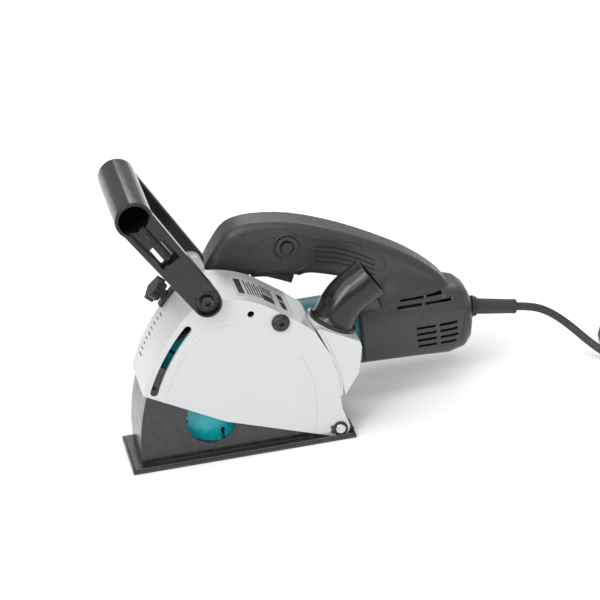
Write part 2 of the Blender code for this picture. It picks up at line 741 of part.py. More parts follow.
def motor_group():
    rod("armature_shaft", SHAFT_RADIUS, (-92, *MOTOR_AXIS), (139, *MOTOR_AXIS), BRIGHT_STEEL, 24)
    bore = SHAFT_RADIUS + GAP
    shaft_ring("rotor_core", bore, 18.5, -30, 20, BLACK_STEEL, 36)
    shaft_ring("commutator", bore, 12.0, 44, 62, COPPER_WIRE, 24)
    shaft_ring("motor_bearing_front", bore, 13.0, -70, -61, BRIGHT_STEEL, 28)
    shaft_ring("motor_bearing_rear", bore, 10.0, 124, 132, BRIGHT_STEEL, 28)
    shaft_ring("bearing_plate", 13.3, 27.2, -70, -62, CAST, 36)
    shaft_ring("stator", 19.5, 27.4, -34, 24, BLACK_STEEL, 36)
    shaft_ring("motor_housing", 27.8, MOTOR_RADIUS, -56.6, HOUSING_FRONT + 4, MOTOR_PLASTIC, 48)
    shaft_ring("rear_bearing_seat", 10.3, 16.0, 122, 134, HANDLE_PLASTIC, 28)


def cooling_fan():
    fan = shaft_ring("cooling_fan", 7.0, 26.0, -46.8, -45.0, GLOSS_PLASTIC, 32)
    hub = shaft_ring("hub", SHAFT_RADIUS + GAP, 9.0, -54.0, -46.0, GLOSS_PLASTIC, 24)
    fan = join(fan, hub)
    for i in range(10):
        turn = Matrix.Rotation(2 * pi * i / 10, 4, "X")
        vane = box("vane", (-53.5, -0.9, 8.3), (-45.7, 0.9, 25.5), GLOSS_PLASTIC)
        vane.data.transform(Matrix.Translation(Vector((0, MOTOR_Y, SPINDLE[1])) * MM) @ turn)
        fan = join(fan, vane)


def brushes():
    for name, way in (("brush_holder_top", 1), ("brush_holder_bottom", -1)):
        low = SPINDLE[1] + way * 12.4
        high = SPINDLE[1] + way * 26.0
        box(name, (48, MOTOR_Y - 5, min(low, high)), (58, MOTOR_Y + 5, max(low, high)), BRASS_METAL, 0.6, 1)


# --- gear housing --------------------------------------------------------


def gear_housing():
    """The head casting: gear case, motor flange, handle boss and the neck under the rear handle."""
    x, z = SPINDLE
    low = BACK_FACE + GAP
    head = cross_rod("gear_housing", 40.0, SPINDLE, low, 97.0, CAST, 48)
    flange = rod("flange", MOTOR_RADIUS, (-104, MOTOR_Y, z), (-57, MOTOR_Y, z), CAST, 48)
    neck = [(-108, 90), (-104, 137), (-97, 143.6), (-91, 145), (-59, 140.8), (-57.4, 122), (-57.4, 90)]
    web = [(-125, 164), (-118, 100), (-95, 100), (-96, 143), (-103.5, 147), (-103.8, 165.3)]
    boss = cross_rod("boss", 11.0, HUB, BACK_FACE + 0.6, FAR_ARM_INNER - GAP, CAST)
    body = join(
        head,
        flange,
        plate("neck", [neck], MOTOR_Y - 17, MOTOR_Y + 17, CAST),
        plate("web", [web], BACK_FACE + 0.6, MOTOR_Y - 19.5, CAST),
        boss,
    )
    return cut(
        body,
        cross_rod("gear_room", 36.0, SPINDLE, 20, 78.0, CAST, 40),
        rod("motor_room", 27.6, (-109, MOTOR_Y, z), (-40, MOTOR_Y, z), CAST, 40),
        cross_rod("needle_seat", 11.3, SPINDLE, 70, 90, CAST, 28),
        cross_rod("bolt", 4.4, HUB, 30, 100, CAST, 24),
        rod("lock_way", 3.4, (-160, 70, z), (-130, 70, z), CAST, 20),
    )


def spindle_lock():
    z = SPINDLE[1]
    button = rod("spindle_lock", 6.0, (-162, 70, z), (-155.5, 70, z), GLOSS_PLASTIC, 24)
    stem = rod("stem", 3.0, (-156, 70, z), (-141, 70, z), GLOSS_PLASTIC, 20)
    join(button, stem)


# --- rear handle and housing ---------------------------------------------


def handle_outline():
    """The side view of the rear handle, its foot on the neck and its tail on the housing."""
    top = smooth_route(
        [
            (-101.2, 155.2, 0),
            (-89, 174.2, 0),
            (-74, 189.8, 0),
            (-49, 193.5, 0),
            (-11, 187.7, 0),
            (34.6, 170.4, 0),
            (80, 146.2, 0),
            (105, 129.2, 0),
            (124, 112.2, 0),
            (134, 99.2, 0),
            (142, 84.2, 0),
            (153, 76.2, 0),
        ],
        3,
    )
    grip = smooth_route([(-12.5, 132.8, 0), (-1, 134, 0), (19, 128.2, 0), (38, 121.2, 0), (53, 110.2, 0), (61, 94.2, 0)], 3)
    foot = [(-56.5, 138.7), (-58.5, 142.2), (-91, 146.2), (-95, 147.2)]
    under = [(-13, 134.2)]
    tail = [(152, 60), (62, 60)]
    return [(p[0], p[1]) for p in top] + tail + [(p[0], p[1]) for p in reversed(grip)] + under + foot


def housing_sections(inset, start, end):
    """Sections of the rear motor housing, each smaller by the inset."""
    rows = [
        (start, 67.5, 35.5, 36.0, 3.0),
        (92, 66.0, 35.0, 36.0, 3.2),
        (128, 64.5, 34.5, 36.0, 3.4),
        (144, 64.0, 31.5, 32.5, 3.2),
        (151, 64.5, 26.0, 26.0, 3.0),
        (end, 65.0, 18.0, 18.0, 2.6),
    ]
    return [(x, middle, wide - inset, tall - inset, power) for x, middle, wide, tall, power in rows]


def handle_shells():
    """Both halves of the rear handle and housing, split down the middle of the motor."""
    outer = plate("handle", [handle_outline()], MOTOR_Y - 19, MOTOR_Y + 19, HANDLE_PLASTIC, 9.0)
    outer = join(outer, loft("barrel", housing_sections(0, HOUSING_FRONT, 154.5), HANDLE_PLASTIC))
    middle = [(-75, 170.2), (-51, 175.2), (-19, 168.2), (16, 155.7), (51, 139.2), (86, 118.2), (106, 97.2), (113, 79.2)]
    grip_room = tube("room", [(x, MOTOR_Y, z) for x, z in middle], 14.5, HANDLE_PLASTIC, 3)
    outer = cut(
        outer,
        rod("motor_way", MOTOR_RADIUS + GAP, (30, *MOTOR_AXIS), (HOUSING_FRONT + 8, *MOTOR_AXIS), HANDLE_PLASTIC, 48),
        loft("barrel_room", housing_sections(3, HOUSING_FRONT + 3.2, 151.3), HANDLE_PLASTIC),
        grip_room,
        box("switch_room", (-57, MOTOR_Y - 15.5, 147), (-7, MOTOR_Y + 15.5, 183), HANDLE_PLASTIC),
        box("trigger_way", (-56.2, MOTOR_Y - 10.6, 107), (-13.2, MOTOR_Y + 10.6, 157), HANDLE_PLASTIC),
    )
    run = (GUARD_END - GUARD_START).normalized()
    guard = rod("guard_way", 8.4, GUARD_START - run * 20, GUARD_START + run * 9, HANDLE_PLASTIC, 28)
    outer = cut(outer, guard)
    mesh = outer.data.copy()
    far = keep(outer, box("half", (-200, MOTOR_Y + GAP / 2, 0), (300, 200, 300), HANDLE_PLASTIC))
    far.name = "handle_shell_far"
    near = add_object("handle_shell_near", mesh, HANDLE_PLASTIC)
    near = keep(near, box("half", (-200, -100, 0), (300, MOTOR_Y - GAP / 2, 300), HANDLE_PLASTIC))
    near.name = "handle_shell_near"
    collar = ring("collar", 7.4, 10.6, LOCK_BUTTON, MOTOR_Y - 21.5, MOTOR_Y - 17, HANDLE_PLASTIC, 28)
    near = join(near, collar)
    x, z = LOCK_BUTTON
    opening = box("opening", (x - 3.5, 30, z - 14), (x + 3.5, MOTOR_Y - 19.05, z), HANDLE_PLASTIC)
    cut(near, opening, cross_rod("button_way", 5.7, LOCK_BUTTON, 30, MOTOR_Y - 12, HANDLE_PLASTIC, 24))


def trigger():
    outline = [(-54.6, 146.2), (-54.6, 138), (-41, 134.5), (-29, 129.2), (-18.6, 124.2), (-15.6, 131.2), (-14.6, 146.2)]
    lever = plate("trigger", [outline], MOTOR_Y - 9.6, MOTOR_Y + 9.6, HANDLE_PLASTIC, 1.0)
    bore = cross_rod("bore", 1.9, TRIGGER_PIN, 40, 90, HANDLE_PLASTIC, 16)
    cut(lever, bore)
    cross_rod("trigger_pin", 1.6, TRIGGER_PIN, MOTOR_Y - 10.2, MOTOR_Y + 10.2, BRIGHT_STEEL, 14)


def lock_button():
    cross_rod("lock_button", 5.3, LOCK_BUTTON, MOTOR_Y - 22.5, MOTOR_Y - 11.5, GLOSS_PLASTIC, 24)


def switch_body():
    box("switch_body", (-49, MOTOR_Y - 6, 152), (-11, MOTOR_Y + 14, 177), GLOSS_PLASTIC, 1.0, 1)


def cord_guard():
    """The tapered rubber strain relief, with its collar inside the housing."""
    run = GUARD_END - GUARD_START
    length = run.length
    profile = [(0, length), (6.9, length), (7.85, 0), (10.6, 0), (10.6, -2.6), (7.9, -3.2), (7.9, -14), (0, -14)]
    turned("cord_guard", profile, GUARD_START, run, RUBBER, 28)


# --- supply cord ---------------------------------------------------------


def cord_nodes():
    """The free cord: its run to the floor, its coil, the tail over the coil, and the plug."""
    tube("cord", smooth_route(CORD_ROUTE, 2), CORD_RADIUS, RUBBER, 3)
    x, y = COIL_CENTRE
    profile = [
        (COIL_OUTER - 3, COIL_HEIGHT),
        (COIL_OUTER, COIL_HEIGHT - 3),
        (COIL_OUTER, 3),
        (COIL_OUTER - 3, 0),
        (COIL_INNER + 3, 0),
        (COIL_INNER, 3),
        (COIL_INNER, COIL_HEIGHT - 3),
        (COIL_INNER + 3, COIL_HEIGHT),
    ]
    turned("cord_coil", profile, (x, y, 0), (0, 0, 1), RUBBER, 48)
    points = []
    for i in range(8):
        turn = radians(196 + 8 * i)
        z = COIL_HEIGHT + CORD_RADIUS + 0.4 + 5.5 * (i / 7) ** 2
        points.append((x + COIL_TURN * cos(turn), y + COIL_TURN * sin(turn), z))
    points.append((PLUG_LOW[0] - 1.6, y - COIL_TURN, PLUG_LOW[2] + 11))
    tube("cord_tail", points, CORD_RADIUS, RUBBER, 2)


def plug():
    body = box("plug", PLUG_LOW, PLUG_HIGH, RUBBER, 3.0)
    middle_z = (PLUG_LOW[2] + PLUG_HIGH[2]) / 2
    pins = []
    for y in (3.0, 22.0):
        start = (PLUG_HIGH[0] - 2, y, middle_z)
        pins.append(rod("pin", 2.4, start, (PLUG_HIGH[0] + 19, y, middle_z), BRIGHT_STEEL, 16))
    join(body, *pins)


def set_origins():
    """Puts the origin of every moving piece on the axis of its joint."""
    knob_x, knob_z = polar(COVER_RADIUS + 4.0, KNOB_ANGLE)
    wheels = ["wheel_outer", "wheel_inner", "inner_flange", "spacer_wide", "spacer_narrow", "lock_nut"]
    rotor = ["armature_shaft", "rotor_core", "commutator", "cooling_fan", "bevel_pinion"]
    origins = {
        (0, 0, PIVOT[1]): ["base_plate", "guide_screw", "depth_stop"],
        (HUB[0], 0, HUB[1]): ["front_handle", "stored_key"],
        (knob_x, KNOB_Y, knob_z): ["depth_knob"],
        (SPINDLE[0], 0, SPINDLE[1]): ["spindle", "ring_gear", *wheels],
        (0, *MOTOR_AXIS): rotor,
        (TRIGGER_PIN[0], MOTOR_Y, TRIGGER_PIN[1]): ["trigger"],
        (LOCK_BUTTON[0], MOTOR_Y, LOCK_BUTTON[1]): ["lock_button"],
        (SPINDLE[0], 70, SPINDLE[1]): ["spindle_lock"],
        tuple(NOZZLE_FOOT): ["dust_nozzle"],
    }
    for place, names in origins.items():
        for name in names:
            obj = PARTS.objects[name]
            obj.data.transform(Matrix.Translation(-Vector(place) * MM))
            obj.location = Vector(place) * MM


def finish_nodes():
    """Smooth shading on the round pieces and a body name on every mesh."""
    for obj in PARTS.objects:
        obj.data.name = obj.name
        obj.data.shade_smooth()
        obj.data.set_sharp_from_angle(angle=radians(35))


def build():
    base_plate()
    guide_screw()
    pivot_pin()
    pivot_clip("pivot_clip_near", -34.4)
    pivot_clip("pivot_clip_far", 37.4)
    plunge_spring()
    wheel_cover()
    back_cover()
    cover_screw()
    label_plate()
    dust_port()
    dust_nozzle()
    front_handle()
    handle_bolt("handle_bolt_near", ARM_OUTER + COUNTERBORE, 1, 22)
    handle_bolt("handle_bolt_far", FAR_ARM_OUTER - COUNTERBORE, -1, 22)
    stored_key()
    depth_stop()
    spindle_group()
    ring_gear()
    bevel_pinion()
    motor_group()
    cooling_fan()
    brushes()
    gear_housing()
    spindle_lock()
    handle_shells()
    trigger()
    lock_button()
    switch_body()
    cord_guard()
    cord_nodes()
    plug()
    set_origins()
    finish_nodes()


build()
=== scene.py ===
"""The looks of the wall chaser: its finishes, fine detail, cord, light and camera."""

import json
from math import atan2, cos, degrees, pi, radians, sin

import bmesh
import bpy
from mathutils import Matrix, Vector


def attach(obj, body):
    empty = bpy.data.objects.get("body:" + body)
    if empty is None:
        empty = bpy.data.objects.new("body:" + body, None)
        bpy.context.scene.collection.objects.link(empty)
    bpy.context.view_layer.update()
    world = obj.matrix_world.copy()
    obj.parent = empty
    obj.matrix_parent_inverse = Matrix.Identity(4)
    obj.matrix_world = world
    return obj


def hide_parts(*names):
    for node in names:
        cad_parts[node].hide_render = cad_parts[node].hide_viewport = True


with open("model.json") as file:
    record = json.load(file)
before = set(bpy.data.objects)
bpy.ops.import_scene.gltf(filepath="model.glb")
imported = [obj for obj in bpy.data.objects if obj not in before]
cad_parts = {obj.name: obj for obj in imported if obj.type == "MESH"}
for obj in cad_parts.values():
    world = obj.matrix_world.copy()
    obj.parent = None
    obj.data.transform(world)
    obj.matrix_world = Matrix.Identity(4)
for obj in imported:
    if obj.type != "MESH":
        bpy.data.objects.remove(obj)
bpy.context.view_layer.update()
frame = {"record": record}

MM = 0.001

# Places and sizes in millimetres, most of them the solids' own. The first five are (x, z)
PIVOT = (0.0, 10.0)
SPINDLE = (-109.0, 69.0)
HUB = (-114.5, 165.3)
BAR = (-172.5, 257.0)
LOCK_BUTTON = (-22.0, 167.2)
NEAR_FACE = -33.0
ARM_OUTER = -46.0
BAR_RADIUS = 17.5
FAR_ARM_INNER = 54.0
MOTOR_Y = 68.0
MOTOR_RADIUS = 30.4
GRIP_HALF = 19.0
HOUSING_FRONT = 40.3
COVER_RADIUS = 194.0  # front of the cover, about the pivot
CROWN_RADIUS = 93.0  # top of the cover, about the spindle
LABEL_ARC = (106, 124)  # degrees above -X, about the spindle
LABEL_FLAT = pi / 2 + atan2(18.7, 25.5)  # lean of the straight stretch behind the crown
SOLE_TOP = 4.0
NOZZLE_FOOT = Vector((5.5, -5.0, 107.6))
NOZZLE_END = Vector((46.2, -5.0, 147.6))
NOZZLE_AXIS = Vector((0.463, 0.0, 0.886))
NOZZLE_OUT = Vector((0.839, 0.0, 0.547))
NOZZLE_RADIUS = 20.0
NOZZLE_BORE = 17.4
GUARD_START = Vector((160.2, MOTOR_Y, 64.3))
GUARD_END = Vector((203.0, MOTOR_Y, 56.6))
GEAR_CASE_RADIUS = 39.95
SEGMENT_RADIUS = 59.5  # where the wheel's diamond segments start
SKIN_GAP = 0.4  # how far the finer skins lie outside the solids

# The view: how far round and up it is and how the picture leans, with lengths in metres
VIEW_ROUND = radians(9.7)
VIEW_UP = radians(25.0)
VIEW_ROLL = radians(5.1)
TARGET = Vector((-0.022, 0.0, 0.133))
DISTANCE = 2.4
FRAME_WIDTH = 0.5607
SENSOR = 36.0  # millimetres

ALONG_X = Vector((1, 0, 0))
ALONG_Y = Vector((0, 1, 0))
ALONG_Z = Vector((0, 0, 1))

# The cord, in millimetres but for its length
CORD_RADIUS = 4.0
COIL_CENTRE = (352.0, 62.0)
COIL_TURN = 48.5  # middle of the turns
COIL_HEIGHT = 16.0
COIL_START = radians(258.5)
COIL_TURNS = 7.827
COIL_LEAD_IN = 9.9  # how far outside the first turn the cord arrives
COIL_STEP = 0.4  # part of a turn that a step to the next column takes
PLUG_LOW = (346.0, -3.0, 16.4)
PLUG_HIGH = (390.0, 28.0, 38.4)
CORD_ROUTE = [
    (203.3, 68.0, 56.5),
    (215.0, 68.0, 54.2),
    (229.0, 67.0, 49.6),
    (243.0, 63.5, 41.0),
    (257.0, 56.0, 29.0),
    (270.0, 44.0, 17.0),
    (284.0, 28.0, 8.0),
    (300.0, 11.5, 4.2),
    (318.0, -1.4, 4.0),
    (338.0, -7.0, 4.0),
]


# --- camera, light and floor ----------------------------------------------


def add_camera():
    """The camera, at the view that the named values above give."""
    right = Vector((cos(VIEW_ROUND), -sin(VIEW_ROUND), 0))
    up = Vector((sin(VIEW_UP) * sin(VIEW_ROUND), sin(VIEW_UP) * cos(VIEW_ROUND), cos(VIEW_UP)))
    back = right.cross(up)
    leaned_right = right * cos(VIEW_ROLL) - up * sin(VIEW_ROLL)
    leaned_up = right * sin(VIEW_ROLL) + up * cos(VIEW_ROLL)
    data = bpy.data.cameras.new("camera")
    data.sensor_width = SENSOR
    data.lens = SENSOR * DISTANCE / FRAME_WIDTH
    data.clip_end = 50
    camera = bpy.data.objects.new("camera", data)
    bpy.context.scene.collection.objects.link(camera)
    turn = Matrix((leaned_right, leaned_up, back)).transposed()
    camera.matrix_world = Matrix.Translation(TARGET + back * DISTANCE) @ turn.to_4x4()
    bpy.context.scene.camera = camera


def area_light(name, place, size, power):
    """A soft rectangular light that looks at the object."""
    aim = Vector((0, 0, 0.1))
    data = bpy.data.lights.new(name, "AREA")
    data.shape = "RECTANGLE"
    data.size, data.size_y = size
    data.energy = power
    light = bpy.data.objects.new(name, data)
    bpy.context.scene.collection.objects.link(light)
    light.location = place
    light.rotation_euler = (aim - Vector(place)).to_track_quat("-Z", "Y").to_euler()


def add_studio():
    """A pale floor under a wide soft sky, with a key light and a rim light."""
    world = bpy.data.worlds.new("studio")
    world.use_nodes = True
    world.node_tree.nodes["Background"].inputs["Color"].default_value = (1, 1, 1, 1)
    world.node_tree.nodes["Background"].inputs["Strength"].default_value = 0.5
    bpy.context.scene.world = world
    bpy.context.scene.view_settings.view_transform = "Standard"
    data = bpy.data.lights.new("sky", "SUN")
    data.energy = 2.1
    data.angle = radians(75)
    sky = bpy.data.objects.new("sky", data)
    bpy.context.scene.collection.objects.link(sky)
    sky.rotation_euler = Vector((0.35, 0.5, -1.0)).to_track_quat("-Z", "Y").to_euler()
    area_light("key", (-1.1, -1.2, 1.1), (0.5, 1.2), 9)
    area_light("rim", (0.5, 1.4, 1.2), (1.4, 0.5), 8)
    bpy.ops.mesh.primitive_plane_add(size=16, location=(0, 0, -0.0002))
    floor = bpy.context.object
    floor.name = "floor"
    pale = bpy.data.materials.new("pale_floor")
    pale.use_nodes = True
    shader = pale.node_tree.nodes["Principled BSDF"]
    shader.inputs["Base Color"].default_value = (0.95, 0.95, 0.95, 1)
    shader.inputs["Roughness"].default_value = 1.0
    shader.inputs["Specular IOR Level"].default_value = 0.0
    floor.data.materials.append(pale)


# --- materials --------------------------------------------------------------


class Finish:
    """A principled material whose colour, roughness and relief come from noise."""

    def __init__(self, name, metallic=0.0, **sockets):
        self.material = bpy.data.materials.new(name)
        self.material.use_nodes = True
        self.nodes = self.material.node_tree.nodes
        self.links = self.material.node_tree.links
        self.shader = self.nodes["Principled BSDF"]
        self.shader.inputs["Metallic"].default_value = metallic
        for socket, value in sockets.items():
            self.shader.inputs[socket.replace("_", " ")].default_value = value
        self.place = self.nodes.new("ShaderNodeTexCoord").outputs["Object"]

    def noise(self, scale, detail=3.0, stretch=(1, 1, 1)):
        mapping = self.nodes.new("ShaderNodeMapping")
        mapping.inputs["Scale"].default_value = stretch
        self.links.new(self.place, mapping.inputs["Vector"])
        made = self.nodes.new("ShaderNodeTexNoise")
        made.inputs["Scale"].default_value = scale
        made.inputs["Detail"].default_value = detail
        self.links.new(mapping.outputs["Vector"], made.inputs["Vector"])
        return made.outputs["Fac"]

    def spread(self, source, low, high):
        """Maps the middle of a noise to a range of values."""
        made = self.nodes.new("ShaderNodeMapRange")
        made.inputs["From Min"].default_value = 0.3
        made.inputs["From Max"].default_value = 0.7
        made.inputs["To Min"].default_value = low
        made.inputs["To Max"].default_value = high
        self.links.new(source, made.inputs["Value"])
        return made.outputs["Result"]

    def colour(self, dark, light, scale, detail=4.0):
        ramp = self.nodes.new("ShaderNodeValToRGB")
        ramp.color_ramp.elements[0].position = 0.35
        ramp.color_ramp.elements[0].color = (*dark, 1)
        ramp.color_ramp.elements[1].position = 0.65
        ramp.color_ramp.elements[1].color = (*light, 1)
        self.links.new(self.noise(scale, detail), ramp.inputs["Fac"])
        self.links.new(ramp.outputs["Color"], self.shader.inputs["Base Color"])
        return self

    def roughness(self, low, high, scale, stretch=(1, 1, 1)):
        varied = self.spread(self.noise(scale, 3, stretch), low, high)
        self.links.new(varied, self.shader.inputs["Roughness"])
        return self

    def relief(self, scale, depth, strength=0.5, stretch=(1, 1, 1)):
        """Fine bumps, their depth in millimetres."""
        bump = self.nodes.new("ShaderNodeBump")
        bump.inputs["Strength"].default_value = strength
        bump.inputs["Distance"].default_value = depth * MM
        self.links.new(self.noise(scale, 2, stretch), bump.inputs["Height"])
        self.links.new(bump.outputs["Normal"], self.shader.inputs["Normal"])
        return self


def silver_paint():
    finish = Finish("silver_paint_look", 0.25, Coat_Weight=0.25, Coat_Roughness=0.15)
    finish.colour((0.56, 0.57, 0.58), (0.6, 0.605, 0.61), 900, 6)
    return finish.roughness(0.3, 0.42, 60).relief(1400, 0.02, 0.15).material


def black_paint():
    finish = Finish("black_paint_look", 0.0, Coat_Weight=0.5, Coat_Roughness=0.12)
    finish.colour((0.008, 0.008, 0.009), (0.018, 0.018, 0.019), 220, 5)
    return finish.roughness(0.26, 0.42, 90).relief(700, 0.08, 0.35).material


def gloss_plastic():
    finish = Finish("gloss_plastic_look")
    finish.colour((0.008, 0.008, 0.0085), (0.013, 0.013, 0.0135), 150)
    return finish.roughness(0.13, 0.22, 120).relief(300, 0.012, 0.1).material


def grey_plastic():
    finish = Finish("grey_plastic_look")
    finish.colour((0.03, 0.031, 0.032), (0.042, 0.043, 0.044), 500, 6)
    return finish.roughness(0.34, 0.46, 160).relief(2600, 0.04, 0.3).material


# Near-black: the colour of printed marks, scale ticks and joint lines, and also painted shade in the
# grip's grooves and behind the air slots
def dark_marks_and_shade():
    finish = Finish("dark_inset_look")
    finish.colour((0.004, 0.004, 0.004), (0.012, 0.012, 0.012), 300)
    return finish.roughness(0.6, 0.8, 200).material


def teal_plastic():
    finish = Finish("teal_plastic_look")
    finish.colour((0.02, 0.15, 0.18), (0.035, 0.19, 0.22), 420)
    return finish.roughness(0.36, 0.5, 140).relief(1800, 0.06, 0.4).material


def steel():
    finish = Finish("steel_look", 1.0)
    finish.colour((0.5, 0.5, 0.51), (0.66, 0.66, 0.66), 260, 6)
    return finish.roughness(0.16, 0.36, 240, (1, 12, 1)).relief(900, 0.04, 0.3, (1, 10, 1)).material


def black_steel():
    finish = Finish("black_steel_look", 0.7)
    finish.colour((0.03, 0.03, 0.032), (0.06, 0.06, 0.063), 380)
    return finish.roughness(0.26, 0.44, 200).relief(1100, 0.05, 0.3).material


def brass():
    finish = Finish("brass_look", 1.0)
    finish.colour((0.62, 0.42, 0.16), (0.74, 0.54, 0.25), 300)
    return finish.roughness(0.22, 0.38, 200).relief(900, 0.04, 0.3).material


def copper():
    finish = Finish("copper_look", 1.0)
    finish.colour((0.5, 0.2, 0.09), (0.72, 0.32, 0.16), 260)
    return finish.roughness(0.22, 0.4, 300).relief(700, 0.06, 0.4).material


def rubber():
    finish = Finish("rubber_look")
    finish.colour((0.02, 0.02, 0.021), (0.034, 0.034, 0.035), 600)
    return finish.roughness(0.5, 0.66, 200).relief(2200, 0.07, 0.5).material


def label_film():
    finish = Finish("label_look", 0.1)
    finish.colour((0.5, 0.5, 0.49), (0.6, 0.6, 0.58), 200)
    return finish.roughness(0.3, 0.4, 100).material


def wheel_paint():
    """Teal paint on the wheel's core and grey diamond segments at its rim, told apart by radius."""
    finish = Finish("wheel_look", 0.0, Coat_Weight=0.4, Coat_Roughness=0.1)
    nodes, links = finish.nodes, finish.links
    shift = nodes.new("ShaderNodeVectorMath")
    shift.operation = "SUBTRACT"
    shift.inputs[1].default_value = (SPINDLE[0] * MM, 0, SPINDLE[1] * MM)
    flat = nodes.new("ShaderNodeVectorMath")
    flat.operation = "MULTIPLY"
    flat.inputs[1].default_value = (1, 0, 1)
    reach = nodes.new("ShaderNodeVectorMath")
    reach.operation = "LENGTH"
    links.new(finish.place, shift.inputs[0])
    links.new(shift.outputs["Vector"], flat.inputs[0])
    links.new(flat.outputs["Vector"], reach.inputs[0])
    ramp = nodes.new("ShaderNodeMapRange")
    ramp.inputs["From Min"].default_value = (SEGMENT_RADIUS - 0.3) * MM
    ramp.inputs["From Max"].default_value = (SEGMENT_RADIUS + 0.3) * MM
    links.new(reach.outputs["Value"], ramp.inputs["Value"])
    finish.colour((0.0, 0.4, 0.46), (0.005, 0.47, 0.53), 160)
    teal = finish.shader.inputs["Base Color"].links[0].from_socket
    mix = nodes.new("ShaderNodeMix")
    mix.data_type = "RGBA"
    mix.inputs["B"].default_value = (0.09, 0.085, 0.08, 1)
    links.new(ramp.outputs["Result"], mix.inputs["Factor"])
    links.new(teal, mix.inputs["A"])
    links.new(mix.outputs["Result"], finish.shader.inputs["Base Color"])
    return finish.roughness(0.25, 0.4, 200).relief(800, 0.06, 0.4).material


LOOKS = {
    "silver_paint": silver_paint(),
    "black_paint": black_paint(),
    "gloss_plastic": gloss_plastic(),
    "grey_plastic": grey_plastic(),
    "teal_plastic": teal_plastic(),
    "wheel_teal": wheel_paint(),
    "steel": steel(),
    "black_oxide_steel": black_steel(),
    "brass": brass(),
    "copper": copper(),
    "rubber": rubber(),
    "label": label_film(),
}
DARK = dark_marks_and_shade()


def node_object(name):
    """A CAD node or an earlier piece, by its name."""
    return bpy.data.objects[name]


def dress_nodes():
    """Gives every CAD node its finish, and rounded edges to the larger ones."""
    for part in frame["record"]["subparts"]:
        materials = node_object(part["node"]).data.materials
        materials.clear()
        materials.append(LOOKS[part["material_slot"]])
    rounded = {
        "wheel_cover": 0.9,
        "back_cover": 0.9,
        "dust_port": 0.8,
        "gear_housing": 1.2,
        "base_plate": 0.6,
        "trigger": 0.6,
        "depth_knob": 0.8,
        "depth_stop": 0.4,
        "plug": 0.5,
        "spindle_lock": 0.5,
        "lock_button": 0.6,
    }
    for name, width in rounded.items():
        bevel = node_object(name).modifiers.new("rounded", "BEVEL")
        bevel.width = width * MM
        bevel.segments = 3
        bevel.limit_method = "ANGLE"
        bevel.angle_limit = radians(40)
        bevel.harden_normals = True


# --- small builders ---------------------------------------------------------


def finished(name, mesh_or_curve, body, look):
    """A piece of the visual model that rides on a body."""
    obj = bpy.data.objects.new(name, mesh_or_curve)
    bpy.context.scene.collection.objects.link(obj)
    mesh_or_curve.materials.append(look)
    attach(obj, body)
    return obj


def ridge(name, points, radius, body, look, resolution=3):
    """A round bead along points given in millimetres."""
    curve = bpy.data.curves.new(name, "CURVE")
    curve.dimensions = "3D"
    curve.bevel_depth = radius * MM
    curve.bevel_resolution = resolution
    curve.use_fill_caps = True
    spline = curve.splines.new("POLY")
    spline.points.add(len(points) - 1)
    for point, place in zip(spline.points, points):
        point.co = (*(Vector(place) * MM), 1)
    return finished(name, curve, body, look)


def smooth_route(points, steps):
    """Points on the Catmull-Rom curve through the given points."""
    places = [Vector(point) for point in points]
    ends = [2 * places[0] - places[1], *places, 2 * places[-1] - places[-2]]
    route = []
    for a, b, c, d in zip(ends, ends[1:], ends[2:], ends[3:]):
        square = 2 * a - 5 * b + 4 * c - d
        cube = 3 * b - a - 3 * c + d
        for step in range(steps):
            t = step / steps
            route.append(0.5 * (2 * b + (c - a) * t + square * t * t + cube * t**3))
    route.append(places[-1])
    return route


def around(centre, across, over, radius, steps, start=0.0, sweep=360.0):
    """Points round a circle, or part of one. across and over are unit vectors in its plane."""
    places = []
    for k in range(steps + 1):
        turn = radians(start + sweep * k / steps)
        places.append(Vector(centre) + (across * cos(turn) + over * sin(turn)) * radius)
    return places


def mesh_from(shape, name, scale=1.0):
    """A mesh with a bmesh's faces, which frees the bmesh."""
    bmesh.ops.scale(shape, vec=(scale, scale, scale), verts=shape.verts)
    mesh = bpy.data.meshes.new(name)
    shape.to_mesh(mesh)
    shape.free()
    return mesh


def join_rows(shape, grid, flip=False):
    """Faces between the rows of a grid of vertices."""
    for a, b in zip(grid, grid[1:]):
        for i in range(len(a) - 1):
            corners = [a[i], b[i], b[i + 1], a[i + 1]]
            shape.faces.new(corners[::-1] if flip else corners)


def band(shape, a, b):
    """Faces between two closed rings of vertices."""
    sides = len(a)
    for k in range(sides):
        shape.faces.new((a[k], a[(k + 1) % sides], b[(k + 1) % sides], b[k]))


def thicken(obj, depth):
    """Gives a surface a wall, so many millimetres deep, on its inner side."""
    thick = obj.modifiers.new("thick", "SOLIDIFY")
    thick.thickness = depth * MM
    thick.offset = -1


def blocks(name, places, body, look):
    """Several small boxes in one piece: (matrix in millimetres, size)."""
    shape = bmesh.new()
    for place, size in places:
        made = bmesh.ops.create_cube(shape, size=1.0)["verts"]
        bmesh.ops.transform(shape, matrix=place @ Matrix.Diagonal((*size, 1.0)), verts=made)
    return finished(name, mesh_from(shape, name, MM), body, look)


# --- detail ---------------------------------------------------------------


def hidden_cutter(name, places):
    """Boxes that only cut. They stay out of the picture."""
    cutter = blocks(name, places, "tool", DARK)
    cutter.hide_render = True
    cutter.hide_viewport = True
    return cutter


def cut_with(obj, cutter):
    """Takes a cutter's boxes out of a piece."""
    made = obj.modifiers.new(cutter.name, "BOOLEAN")
    made.operation = "DIFFERENCE"
    made.solver = "EXACT"
    made.object = cutter


BARREL = [  # x, middle height, half width, half height and squareness of the rear housing
    (HOUSING_FRONT, 67.5, 35.5, 36.0, 3.0),
    (92, 66.0, 35.0, 36.0, 3.2),
    (128, 64.5, 34.5, 36.0, 3.4),
    (144, 64.0, 31.5, 32.5, 3.2),
    (151, 64.5, 26.0, 26.0, 3.0),
    (154.5, 65.0, 18.0, 18.0, 2.6),
]


